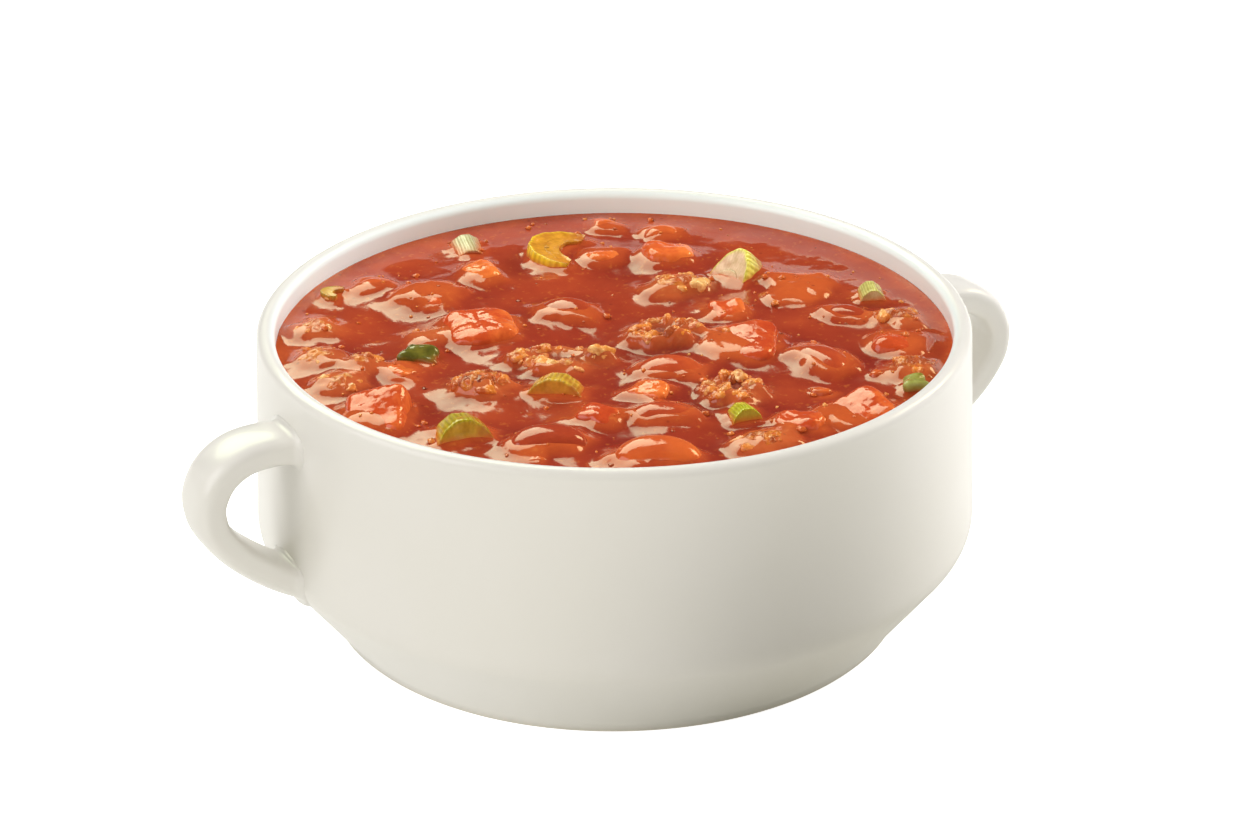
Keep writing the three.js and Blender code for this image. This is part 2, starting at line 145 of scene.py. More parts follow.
# How each kind of piece is shaped: the power runs from 2, an egg, to 4 and more, a block with rounded edges. Lumps is
# the share of its uneven swelling, and crinkle the depth of its fine relief.
lumpForms = {form["kind"]: form for form in table("kind power lumps bend around down crinkle crinkleSize", [
    ("tomato", 3.8, 0.11, 0, 128, 84, 0.26, 1.8),
    ("bean", 2.3, 0.02, 0.28, 112, 72, 0.05, 2.2),
    ("pepper", 3.6, 0.24, 0.2, 80, 56, 0.2, 1.5),
    ("meat", 2.5, 0.16, 0, 96, 64, 0.4, 1.3),
    ("nodule", 2.4, 0.35, 0, 36, 24, 0.30, 0.8),
    ("bit", 2.6, 0.1, 0, 48, 32, 0.1, 0.8),
])}
celeryForm = {
    "ribs": 7, "ribDepth": 0.984, "innerLength": 0.25, "dish": 0.10, "rough": 0.10, "roughSize": 1.4,
    "sides": 192, "faceRings": 14, "edgeRings": 18,
}
# A meat crumble: its core and its nodules as shares of its size, and how many nodules it has, more when it is long
crumbleForm = {"core": 0.78, "openCore": 0.62, "openDrop": 0.35, "nodule": 1.25, "least": 10, "more": 7}
sauceLevel = sauceShape["level"] * mm


# One value of the shader: it can be added, multiplied and mixed like a number.
class Wire:
    def __init__(self, tree, socket):
        self.tree = tree
        self.socket = socket

    def plug(self, target, value):
        if isinstance(value, Wire):
            self.tree.links.new(value.socket, target)
        else:
            target.default_value = value

    def node(self, kind, settings, inputs, out):
        made = self.tree.nodes.new(kind)
        for key, value in settings.items():
            setattr(made, key, value)
        for key, value in inputs.items():
            self.plug(made.inputs[key], value)
        return Wire(self.tree, made.outputs[out])

    def maths(self, operation, first, second):
        return self.node("ShaderNodeMath", {"operation": operation}, {0: first, 1: second}, "Value")

    def __add__(self, other):
        return self.maths("ADD", self, other)

    def __sub__(self, other):
        return self.maths("SUBTRACT", self, other)

    def __rsub__(self, other):
        return self.maths("SUBTRACT", other, self)

    def __mul__(self, other):
        return self.maths("MULTIPLY", self, other)

    __radd__ = __add__
    __rmul__ = __mul__

    def between(self, low, high, smooth=True):
        # 0 below low, 1 above high, and eased or straight in between
        settings = {"interpolation_type": "SMOOTHSTEP" if smooth else "LINEAR"}
        inputs = {"Value": self, "From Min": low, "From Max": high}
        return self.node("ShaderNodeMapRange", settings, inputs, "Result")

    def blend(self, first, second):
        # the first colour where this is 0 and the second where it is 1
        made = self.node("ShaderNodeMix", {"data_type": "RGBA"}, {"Factor": self}, "Result").socket.node
        for target, value in zip([s for s in made.inputs if s.type == "RGBA"], (first, second)):
            self.plug(target, value if isinstance(value, Wire) else (*value, 1.0))
        return Wire(self.tree, [s for s in made.outputs if s.type == "RGBA"][0])

    def scaled(self, factors):
        # a place or a colour with its three parts multiplied
        return self.node("ShaderNodeVectorMath", {"operation": "MULTIPLY"}, {0: self, 1: factors}, "Vector")

    def distanceTo(self, point):
        return self.node("ShaderNodeVectorMath", {"operation": "DISTANCE"}, {0: self, 1: point}, "Value")

    def height(self):
        return self.node("ShaderNodeSeparateXYZ", {}, {0: self}, "Z")

    def attribute(self, name, out="Fac"):
        return self.node("ShaderNodeAttribute", {"attribute_name": name}, {}, out)

    def noise(self, size, detail=2.0, roughness=0.5):
        # soft random pattern from 0 to 1 with patches about `size` metres across
        inputs = {"Vector": self, "Scale": 1.0 / size, "Detail": detail, "Roughness": roughness}
        return self.node("ShaderNodeTexNoise", {}, inputs, "Fac")

    def cells(self, size):
        # distance to the nearest of random points about `size` metres apart
        return self.node("ShaderNodeTexVoronoi", {}, {"Vector": self, "Scale": 1.0 / size}, "Distance")

    def bump(self, strength, distance):
        inputs = {"Height": self, "Strength": strength, "Distance": distance}
        return self.node("ShaderNodeBump", {}, inputs, "Normal")


def makeMaterial(name, constants, surface):
    # a principled shader: plain values are set on its own sockets, and surface works out the others at each place
    material = bpy.data.materials.new(name)
    material.use_nodes = True
    shader = material.node_tree.nodes["Principled BSDF"]
    for key, value in constants.items():
        shader.inputs[key].default_value = value
    place = Wire(material.node_tree, None).node("ShaderNodeTexCoord", {}, {}, "Object")
    for key, value in surface(place).items():
        place.plug(shader.inputs[key], value)
    return material


# Sizes in the looks are metres. Bare is the foot's unglazed ring, and inside the colour of the strip between the lip
# and the sauce: painted light, a glaze lighter and greener than outside, which brightens that strip and cancels the
# red light the sauce throws on it.
glazeLook = {
    "colour": (0.72, 0.70, 0.655), "pool": (0.69, 0.67, 0.60), "bare": (0.62, 0.58, 0.50),
    "inside": (0.89, 1.0, 0.97), "bareUpTo": 0.0012, "insideRadius": 0.0558, "insideFrom": 0.036, "insideTo": 0.040,
}


def glazeSurface(place):
    glazed = place.height().between(0.0002, glazeLook["bareUpTo"])
    cloud = place.noise(0.03)
    colour = (cloud.between(0.3, 0.75) * 0.35).blend(glazeLook["colour"], glazeLook["pool"])
    # painted light: the strip between the lip and the sauce takes the lighter, greener inside colour
    fromAxis = place.scaled((1.0, 1.0, 0.0)).distanceTo((0.0, 0.0, 0.0))
    inside = (glazeLook["insideRadius"] - fromAxis).between(0.0, 0.0012)
    inside = inside * place.height().between(glazeLook["insideFrom"], glazeLook["insideTo"])
    waves = place.noise(0.016, 1.0) + place.noise(0.004, 1.0) * 0.05
    return {
        "Base Color": inside.blend(glazed.blend(glazeLook["bare"], colour), glazeLook["inside"]),
        "Roughness": 0.62 - glazed * 0.27 + cloud.between(0.3, 0.8) * 0.04,
        "Normal": waves.bump(0.12, 0.0012),
    }


# Hollow is painted shade for sauce that lies low between the pieces.
sauceLook = {
    "deep": (0.36, 0.046, 0.017), "plain": (0.42, 0.062, 0.020), "light": (0.62, 0.120, 0.024),
    "hollow": (0.24, 0.024, 0.013), "oil": (0.68, 0.20, 0.040), "pale": (0.66, 0.30, 0.11),
    "speck": (0.19, 0.024, 0.012), "mottleSize": 0.006, "cloudSize": 0.017, "pulpSize": 0.0011,
    "speckSpacing": 0.0034,
}


def sauceSurface(place):
    thin, pale, hollow = place.attribute("thin"), place.attribute("pale"), place.attribute("hollow")
    mottle = place.noise(sauceLook["mottleSize"], 3.0, 0.6)
    cloud = place.noise(sauceLook["cloudSize"])
    pulp = place.noise(sauceLook["pulpSize"], 2.0, 0.6)
    speck = place.cells(sauceLook["speckSpacing"])
    lightness = thin * 1.15 + (mottle - 0.5) * 0.7 + (cloud - 0.5) * 0.5
    colour = (mottle * 0.6 + cloud * 0.6).between(0.42, 0.78).blend(sauceLook["deep"], sauceLook["plain"])
    colour = lightness.between(0.1, 1.0, False).blend(colour, sauceLook["light"])
    # painted shade: darker where the sauce lies below its surroundings
    colour = hollow.blend(colour, sauceLook["hollow"])
    colour = (pulp.between(0.58, 0.75) * 0.30).blend(colour, sauceLook["oil"])
    colour = ((1.0 - speck.between(0.05, 0.12)) * 0.5).blend(colour, sauceLook["speck"])
    colour = (pale * (0.6 + (pulp - 0.5) * 1.6)).between(0.0, 1.0, False).blend(colour, sauceLook["pale"])
    relief = pulp * 0.35 + place.noise(0.0028) * 0.6
    return {
        "Base Color": colour,
        "Roughness": 0.055 + mottle.between(0.35, 0.8) * 0.05 + hollow * 0.08,
        "Normal": relief.bump(0.2, 0.00025),
    }


def sunkShade(place, colour, sauceColour, reach):
    # the foot of a piece takes the sauce's colour, and within `reach` above it the piece shows its own
    edge = place.noise(0.003) * 0.0012
    return (place.height() - (sauceLevel + 0.0008) + edge).between(0.0, reach).blend(sauceColour, colour)


# The mixes say how much the cloud adds to a piece's tone, and the range of that sum over which dark turns to plain
# and plain to light. Glow is painted light: how much lighter its right side is painted. Sunk is the height that the
# sauce stains.
skinLooks = {
    "tomato": {
        "dark": (0.44, 0.042, 0.014), "plain": (0.64, 0.090, 0.020), "light": (0.92, 0.24, 0.046),
        "darkMix": (1.1, -0.6, 0.5), "lightMix": (1.6, 0.35, 1.5), "glow": 1.0, "cloudSize": 0.0022,
        "drawnOut": 0.35, "pores": 0.3, "poreSize": 0.0008, "sunk": 0.0016, "roughness": 0.06, "uneven": 0.12,
        "bump": 0.45,
    },
    "bean": {
        "dark": (0.30, 0.036, 0.017), "plain": (0.50, 0.070, 0.020), "light": (0.68, 0.135, 0.028),
        "darkMix": (0.9, -0.9, 0.1), "lightMix": (1.2, 0.1, 1.4), "glow": 1.0, "cloudSize": 0.003,
        "drawnOut": 1.0, "pores": 0.3, "poreSize": 0.0009, "sunk": 0.0014, "roughness": 0.06, "uneven": 0.1,
        "bump": 0.25,
    },
    "pepper": {
        "dark": (0.032, 0.042, 0.008), "plain": (0.22, 0.185, 0.02), "light": (0.38, 0.42, 0.11),
        "darkMix": (1.6, -1.0, 0.3), "lightMix": (1.6, 0.2, 1.2), "glow": 0.0, "cloudSize": 0.0018,
        "drawnOut": 1.0, "pores": 0.0, "poreSize": 0.0009, "sunk": 0.0012, "roughness": 0.15, "uneven": 0.1,
        "bump": 0.25,
    },
}


def skinSurface(look):
    def surface(place):
        tone = place.attribute("tone")
        cloud = place.scaled((1.0, 1.0, look["drawnOut"])).noise(look["cloudSize"], 3.0, 0.6)
        cloudShare, low, high = look["darkMix"]
        colour = (tone + (cloud - 0.5) * cloudShare).between(low, high, False).blend(look["dark"], look["plain"])
        cloudShare, low, high = look["lightMix"]
        # painted light: the right side is lighter by its glow
        lightness = tone + place.attribute("glow") * look["glow"] + (cloud - 0.5) * cloudShare
        colour = lightness.between(low, high, False).blend(colour, look["light"])
        relief = place.noise(look["poreSize"]) * look["pores"] + cloud
        return {
            "Base Color": sunkShade(place, colour, sauceLook["plain"], look["sunk"]),
            "Roughness": look["roughness"] + cloud.between(0.3, 0.8) * look["uneven"],
            "Normal": relief.bump(look["bump"], 0.0003),
        }
    return surface


celeryLook = {"stain": (0.44, 0.13, 0.02), "shade": (0.66, 0.60, 0.45), "cloudSize": 0.0016, "stainSize": 0.0030}


def celerySurface(place):
    # the slice's own paint, shaded along its fibres and stained by the sauce in patches, more towards its right side
    paint, fibre = place.attribute("paint", "Color"), place.attribute("fibre")
    cloud = place.noise(celeryLook["cloudSize"], 3.0, 0.6)
    lightness = cloud + (fibre - 0.5) * 0.35
    colour = lightness.between(0.30, 0.68, False).blend(paint.scaled(celeryLook["shade"]), paint)
    stain = place.noise(celeryLook["stainSize"]) - 0.55 + place.attribute("glow") * 0.45
    colour = (stain.between(0.0, 0.3) * 0.8).blend(colour, celeryLook["stain"])
    return {
        "Base Color": sunkShade(place, colour, sauceLook["light"], 0.0018),
        "Roughness": 0.16 + cloud.between(0.3, 0.8) * 0.12,
        "Normal": (fibre * 0.7 + cloud * 0.5).bump(0.35, 0.0003),
    }


# Pale is cream crumbs and fat, partly painted glints. Dark serves both darker crumbs and painted shade.
meatLook = {
    "dark": (0.22, 0.030, 0.012), "brown": (0.56, 0.115, 0.024), "pale": (0.94, 0.58, 0.20),
    "fat": (0.82, 0.26, 0.034), "crumbSize": 0.0012, "patchSize": 0.0030,
}


def meatSurface(place):
    crumb = place.noise(meatLook["crumbSize"], 3.0, 0.65)
    patch = place.noise(meatLook["patchSize"])
    value = place.attribute("tone") * 0.75 + (crumb - 0.5) * 1.9 + (patch - 0.5) * 0.9
    colour = value.between(-0.9, 0.1, False).blend(meatLook["dark"], meatLook["brown"])
    # partly painted glints: pale cream where tone and grain run high
    colour = value.between(0.20, 0.85, False).blend(colour, meatLook["pale"])
    colour = (patch.between(0.46, 0.62) * 0.8).blend(colour, meatLook["fat"])
    # painted shade: darker in an open heap's middle, in its core and on its nodules' undersides
    dark = place.attribute("hollow").between(0.2, 0.9, False)
    return {
        "Base Color": dark.blend(sunkShade(place, colour, sauceLook["light"], 0.0024), meatLook["dark"]),
        "Roughness": 0.10 + crumb.between(0.3, 0.8) * 0.14 + dark * 0.35,
        "Coat Weight": 0.6 - dark * 0.6,
        "Normal": (crumb + place.noise(0.0006) * 0.5).bump(0.6, 0.0004),
    }


def crumbSurface(place):
    # dark flecks of spice below a tone of 0, orange to cream crumbs above it
    grainy = place.noise(0.0006)
    value = place.attribute("tone") + (grainy - 0.5) * 0.5
    colour = value.between(-0.6, 0.2, False).blend(sauceLook["speck"], sauceLook["light"])
    colour = value.between(0.3, 0.8, False).blend(colour, sauceLook["oil"])
    colour = value.between(0.8, 1.1, False).blend(colour, meatLook["pale"])
    return {"Base Color": colour, "Roughness": 0.08 + grainy * 0.12, "Normal": grainy.bump(0.2, 0.0001)}


# The camera sees the floor white, and the bowl sees its bounced light, with a painted shadow: a darker patch where
# the bowl's own shadow would fall
floorLook = {
    "colours": ((0.52, 0.51, 0.49), (0.54, 0.53, 0.51)), "seen": (0.90, 0.90, 0.90), "bounce": (0.50, 0.505, 0.485),
    "shade": (0.17, 0.165, 0.12), "shadeAt": (0.040, -0.097, 0.0), "shadeFrom": 0.035, "shadeTo": 0.115,
    "radius": 4.0, "sides": 96,
}


def floorSurface(place):
    seen = place.node("ShaderNodeLightPath", {}, {}, "Is Camera Ray")
    # painted shadow: the bounced light is darker in a patch beside the bowl
    outsidePaintedShadow = place.distanceTo(floorLook["shadeAt"]).between(floorLook["shadeFrom"], floorLook["shadeTo"])
    return {
        "Base Color": place.noise(0.2).blend(*floorLook["colours"]),
        "Emission Color": seen.blend(outsidePaintedShadow.blend(floorLook["shade"], floorLook["bounce"]), floorLook["seen"]),
    }


def draw(seed):
    # repeatable random number from 0 to 1 for a seed
    value = math.sin(seed * 127.1 + 11.7) * 43758.5453
    return value - math.floor(value)


def grain(points, size, seed):
    # smooth random values from -1 to 1: random numbers on a lattice `size` apart, blended by t*t*(3 - 2*t)
    scaled = points / size
    cell = np.floor(scaled).astype(np.int64)
    part = scaled - cell
    part = part * part * (3 - 2 * part)
    total = np.zeros(points.shape[:-1])
    for corner in range(8):
        step = np.array([corner & 1, corner >> 1 & 1, corner >> 2 & 1])
        c = cell + step
        key = (c[..., 0] * 73856093) ^ (c[..., 1] * 19349663) ^ (c[..., 2] * 83492791) ^ (seed * 7919 + 12345)
        key = ((key ^ (key >> 13)) * 1274126177) & 0x7FFFFFFF
        key = ((key ^ (key >> 15)) * 668265263) & 0x7FFFFFFF
        total += key / 0x7FFFFFFF * np.prod(np.where(step, part, 1 - part), axis=-1)
    return total * 2 - 1


def roundedCorner(before, corner, after, radius, steps):
    # arc that touches both straight lines, as points
    p = np.array(corner, float)
    u = np.array(before, float) - p
    v = np.array(after, float) - p
    u /= np.linalg.norm(u)
    v /= np.linalg.norm(v)
    half = math.acos(float(u @ v)) / 2
    middle = (u + v) / np.linalg.norm(u + v)
    centre = p + middle * radius / math.sin(half)
    start = p + u * radius / math.tan(half) - centre
    end = p + v * radius / math.tan(half) - centre
    sweep = math.atan2(start[0] * end[1] - start[1] * end[0], float(start @ end))
    turn = np.linspace(0, sweep, steps + 1)[:, None]
    return centre + start * np.cos(turn) + np.array([-start[1], start[0]]) * np.sin(turn)


def ringShell(rings, sides):
    # faces of a closed shell made of one point, some rings of points and one point
    j = np.arange(sides)
    n = (j + 1) % sides
    ring = 1 + np.arange(rings - 1)[:, None] * sides
    quads = np.stack([ring + j, ring + sides + j, ring + sides + n, ring + n], -1).reshape(-1, 4)
    last = 1 + (rings - 1) * sides
    first = np.stack([0 * j, 1 + j, 1 + n], -1)
    end = np.stack([0 * j + last + sides, last + n, last + j], -1)
    return quads, np.concatenate([first, end])


def directions(down, around):
    # unit directions: up, `down` rings of `around` points, and down
    fall = np.linspace(0, np.pi, down + 2)[1:-1, None]
    turn = np.linspace(0, 2 * np.pi, around, endpoint=False)[None, :]
    rings = np.stack([np.sin(fall) * np.cos(turn), np.sin(fall) * np.sin(turn), np.cos(fall) + 0 * turn], -1)
    return np.concatenate([[[0, 0, 1]], rings.reshape(-1, 3), [[0, 0, -1]]])


def outward(points, quads, tris):
    # the faces of a closed shell, all turned over where its volume, sum a . (b x c) / 6, comes out negative
    whole = np.concatenate([quads[:, [0, 1, 2]], quads[:, [0, 2, 3]], tris])
    a, b, c = (points[whole[:, k]] for k in range(3))
    if np.einsum("ij,ij->i", a, np.cross(b, c)).sum() < 0:
        return quads[:, ::-1], tris[:, ::-1]
    return quads, tris


def joined(shells):
    # several closed shells as one set of points and faces
    points, quads, tris, base = [], [], [], 0
    for p, q, t in shells:
        q, t = outward(p, q, t)
        points.append(p)
        quads.append(q + base)
        tris.append(t + base)
        base += len(p)
    return np.concatenate(points), np.concatenate(quads), np.concatenate(tris)


def buildMesh(name, points, quads, tris, material, values={}):
    # closed mesh with outward faces, from points in millimetres; values are numbers or colours kept at each point
    quads, tris = outward(points, quads, tris)
    mesh = bpy.data.meshes.new(name)
    corners = np.concatenate([quads.ravel(), tris.ravel()]).astype(np.int32)
    starts = np.concatenate([np.arange(len(quads)) * 4, len(quads) * 4 + np.arange(len(tris)) * 3]).astype(np.int32)
    mesh.vertices.add(len(points))
    mesh.vertices.foreach_set("co", (points * mm).astype(np.float32).ravel())
    mesh.loops.add(len(corners))
    mesh.loops.foreach_set("vertex_index", corners)
    mesh.polygons.add(len(starts))
    mesh.polygons.foreach_set("loop_start", starts)
    mesh.update(calc_edges=True)
    mesh.validate()
    mesh.shade_smooth()
    for key, value in values.items():
        value = np.asarray(value, np.float32)
        if value.ndim == 2:
            kind, field = "FLOAT_COLOR", "color"
            value = np.column_stack([value, np.ones(len(value), np.float32)]).ravel()
        else:
            kind, field = "FLOAT", "value"
            value = np.broadcast_to(value, len(points))
        mesh.attributes.new(key, kind, "POINT").data.foreach_set(field, value)
    mesh.materials.append(material)
    piece = bpy.data.objects.new(name, mesh)
    bpy.context.collection.objects.link(piece)
    return piece


def dress(piece, nodes):
    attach(piece, "root")
    if nodes:
        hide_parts(*nodes)


def innerLine(steps):
    # inside of the bowl, from under the lip to the middle of the floor, as radius and height
    s = bowlShape
    taper = np.array([s["shoulderRadius"] - s["footRadius"], s["shoulderHeight"] - s["footBand"]], float)
    taper /= np.linalg.norm(taper)
    start = (s["footRadius"] - taper[1] * s["taperWall"], s["footBand"] + taper[0] * s["taperWall"])
    wallInner = s["shoulderRadius"] - s["wall"]
    shoulder = (wallInner, start[1] + (wallInner - start[0]) * taper[1] / taper[0])
    heel = (start[0] + (s["floorTop"] - start[1]) * taper[0] / taper[1], s["floorTop"])
    lip = (s["rimRadius"] - s["wall"], s["height"] - s["wall"] / 2)
    upper = roundedCorner(lip, shoulder, heel, s["innerRound"], steps)
    lower = roundedCorner(shoulder, heel, (0, s["floorTop"]), s["floorRound"], steps)
    return lip, upper, lower


def subdivided(line, longest):
    # the same line with extra points, so that no step is longer than `longest`
    line = np.asarray(line, float)
    pieces = [line[:1]]
    for a, b in zip(line[:-1], line[1:]):
        count = max(1, int(np.ceil(np.linalg.norm(b - a) / longest)))
        pieces.append(a + (b - a) * (np.arange(1, count + 1) / count)[:, None])
    return np.concatenate(pieces)


def outerLine():
    # outside of the bowl from the foot over the rounded shoulder to the lip, as radius and height
    s = bowlShape
    foot = (s["footRadius"], s["footBand"])
    lip = (s["rimRadius"], s["height"] - s["wall"] / 2)
    arc = roundedCorner(foot, (s["shoulderRadius"], s["shoulderHeight"]), lip, s["shoulderRound"], 16)
    return np.array([foot, *arc, lip])


def bowlPoints():
    # the profile is turned about the axis: (r cos t, r sin t, z)
    s = bowlShape
    lipRound = s["wall"] / 2
    turn = np.linspace(0, np.pi, 25)[1:]
    lipMiddle = np.array([s["rimRadius"] - lipRound, s["height"] - lipRound])
    lip = lipMiddle + lipRound * np.stack([np.cos(turn), np.sin(turn)], -1)
    _, upper, lower = innerLine(14)
    outline = [
        (0, s["footRecess"]), (s["footInner"] - s["footRecess"], s["footRecess"]), (s["footInner"], 0),
        (s["footRadius"] - s["footEdge"], 0), (s["footRadius"], s["footEdge"]),
        *outerLine(), *lip, *upper, *lower, (0, s["floorTop"]),
    ]
    outline = subdivided(outline, 2.0)
    t = np.linspace(0, 2 * np.pi, s["sides"], endpoint=False)
    ring = outline[1:-1]
    points = np.stack([ring[:, 0, None] * np.cos(t), ring[:, 0, None] * np.sin(t), ring[:, 1, None] + 0 * t], -1)
    points = np.concatenate([[[0, 0, outline[0, 1]]], points.reshape(-1, 3), [[0, 0, outline[-1, 1]]]])
    return points, *ringShell(len(ring), s["sides"])


def smoothPath(line, steps):
    # the curve through the points whose slope at each is half the step between its neighbours
    line = np.asarray(line, float)
    padded = np.concatenate([2 * line[:1] - line[1:2], line, 2 * line[-1:] - line[-2:-1]])
    u = np.linspace(0, len(line) - 1, steps)
    k = np.minimum(u.astype(int), len(line) - 2)
    t = (u - k)[:, None]
    p0, p1, p2, p3 = (padded[k + i] for i in range(4))
    square, cube = 2 * p0 - 5 * p1 + 4 * p2 - p3, 3 * p1 - p0 - 3 * p2 + p3
    return 0.5 * (2 * p1 + (p2 - p0) * t + square * t ** 2 + cube * t ** 3)


def wallRadius(height):
    line = outerLine()
    return np.interp(height, line[:, 1], line[:, 0])


def filletGrowth(distance, radius):
    # how much wider a quarter-round fillet is at a distance from the wall
    near = np.clip(1 - distance / radius, 0, 1)
    return radius * (1 - np.sqrt(np.clip(1 - near ** 2, 0, 1)))


def squared(value, power):
    # a sine or cosine of a circle as that of the rounded square |x|^power + |y|^power = 1
    return np.sign(value) * np.abs(value) ** (2 / power)


def handlePoints(side):
    # a section carried along the centreline, at centre + normal * thickness / 2 * squared(sin a) + across *
    # width / 2 * squared(cos a), rounder on the outer half and flatter on the inner half. Near the wall a small
    # fillet moves each point away from the centreline, and the ends stay inside the wall
    s = handleShape
    path = smoothPath(s["line"], s["steps"])
    path = path[path[:, 0] >= s["rootStart"]]
    along = np.gradient(path, axis=0)
    along /= np.linalg.norm(along, axis=1)[:, None]
    normal = np.stack([-along[:, 1], along[:, 0]], -1)
    a = np.linspace(0, 2 * np.pi, s["sides"], endpoint=False)
    power = np.where(np.sin(a) > 0, s["outerPower"], s["innerPower"])
    deep = squared(np.sin(a), power) * s["thickness"] / 2
    wide = squared(np.cos(a), power) * s["width"] / 2
    offset = np.stack([normal[:, 0, None] * deep, wide + 0 * normal[:, 0, None], normal[:, 1, None] * deep], -1)
    centre = np.stack([path[:, 0], 0 * path[:, 0], path[:, 1]], -1)[:, None]
    points = centre + offset
    radial = points * np.array([1, 1, 0])
    radius = np.linalg.norm(radial, axis=-1)
    radial /= radius[..., None]
    spread = offset - (offset * radial).sum(-1)[..., None] * radial
    spread /= np.linalg.norm(spread, axis=-1)[..., None]
    distance = np.maximum(radius - wallRadius(points[..., 2]), 0)
    points = points + spread * filletGrowth(distance, s["fillet"])[..., None]
    radius = np.linalg.norm(points[..., :2], axis=-1)
    sunk = wallRadius(points[..., 2]) - s["rootDepth"]
    points[..., :2] *= (np.maximum(radius, sunk) / radius)[..., None]
    points[..., 0] *= side
    ends = points[[0, -1]].mean(1)
    points = np.concatenate([ends[:1], points.reshape(-1, 3), ends[1:]])
    return points, *ringShell(len(path), s["sides"])


def lumpPoints(piece, kind, seed):
    # unit directions n, each reaching (sum |n|^power)^(-1/power) * (1 + lumps), bent along the length,
    # and roughened along the same direction by two sizes of grain
    form = lumpForms[kind]
    n = directions(form["down"], form["around"])
    power = piece.get("power", form["power"])
    reach = (np.abs(n) ** power).sum(-1) ** (-1 / power)
    bumps = (np.sin(3.1 * n[:, 0] + 2.3 * n[:, 2] + 6.3 * draw(seed))
             + np.sin(2.7 * n[:, 1] - 3.7 * n[:, 0] + 6.3 * draw(seed + 1))
             + np.sin(4.3 * n[:, 2] + 3.3 * n[:, 1] + 6.3 * draw(seed + 2)))
    reach = reach * (1 + form["lumps"] * bumps / 3)
    half = np.array(piece["size"]) / 2
    points = n * reach[:, None] * half
    points[:, 1] -= form["bend"] * half[1] * ((points[:, 0] / half[0]) ** 2 - 0.4)
    coarse = grain(points, form["crinkleSize"], seed)
    fine = grain(points, form["crinkleSize"] * 0.45, seed + 5)
    if kind == "meat":
        coarse = np.minimum(1 - 2 * np.abs(coarse), 0.5)  # ridges and crevices between crumbs
    rough = form["crinkle"] * (coarse * 0.7 + fine * 0.3)
    away = n / half
    away /= np.linalg.norm(away, axis=1)[:, None]
    return points + away * rough[:, None], ringShell(form["down"], form["around"])


def towardRight(points, piece):
    # 0 on a piece's left side as the photograph shows it, and 1 on its right side
    turn = view["handleTurn"]
    side = (points[:, 0] - piece["at"][0]) * math.cos(turn) - (points[:, 1] - piece["at"][1]) * math.sin(turn)
    return np.clip(0.5 + side / (2 * np.abs(side).max()), 0, 1)


def aboutZ(angle):
    # matrix of a turn about Z
    return np.array([[math.cos(angle), -math.sin(angle), 0], [math.sin(angle), math.cos(angle), 0], [0, 0, 1]])


def crumblePoints(piece, seed):
    # a heap of rough nodules on a core. Each nodule is a small lump of its own about a centre that lies in an oval,
    # or on a ring when the piece is open in the middle. Painted shade: the core is darker, above all in an open heap,
    # and so is each nodule's underside
    form = crumbleForm
    half = np.array(piece["size"]) / 2
    ringed = piece.get("open", False)
    core = half * 2 * form["openCore" if ringed else "core"]
    points, faces = lumpPoints(dict(piece, size=core), "meat", seed)
    if ringed:
        points[:, 2] -= half[2] * form["openDrop"]
    shells = [(points, *faces)]
    tones = [np.full(len(points), piece["tone"] - 0.6)]
    paintedShades = [np.full(len(points), 1.0 if ringed else 0.35)]
    count = int(form["least"] + form["more"] * half[0] / half[1])
    step = 0.84 / count if ringed else 0.382  # most of a ring, or the golden turn, which fills an oval evenly
    for k in range(count):
        angle = 2 * np.pi * (k + 0.7 * draw(seed + k)) * step
        reach = 0.35 + 0.45 * math.sqrt(draw(seed + k * 3 + 1))
        if ringed:
            reach = 0.62 + 0.5 * reach * draw(seed + k * 3 + 2)
        size = min(half[0], half[1]) * (0.42 + 0.5 * draw(seed + k * 5 + 2))
        lift = (draw(seed + k * 7 + 3) * 0.5 - 0.1) * half[2]
        centre = np.array([reach * math.cos(angle) * half[0], reach * math.sin(angle) * half[1], lift])
        chances = np.array([draw(seed + k + 11), draw(seed + k + 12), draw(seed + k + 13)])
        shape = form["nodule"] * size * (np.array([0.7, 0.5, 0.5]) + np.array([0.5, 0.5, 0.4]) * chances)
        nodule, faces = lumpPoints({"size": shape}, "nodule", seed + k * 2)
        nodule = nodule @ aboutZ(6.3 * draw(seed + k + 21)).T
        shells.append((nodule + centre, *faces))
        tones.append(np.full(len(nodule), piece["tone"] + draw(seed + k * 11 + 4) * 0.9 - 0.45))
        paintedShades.append(np.clip(-nodule[:, 2] / size * 1.2, 0, 0.5))
    points, quads, tris = joined(shells)
    return points, np.concatenate(tones), np.concatenate(paintedShades), (quads, tris)


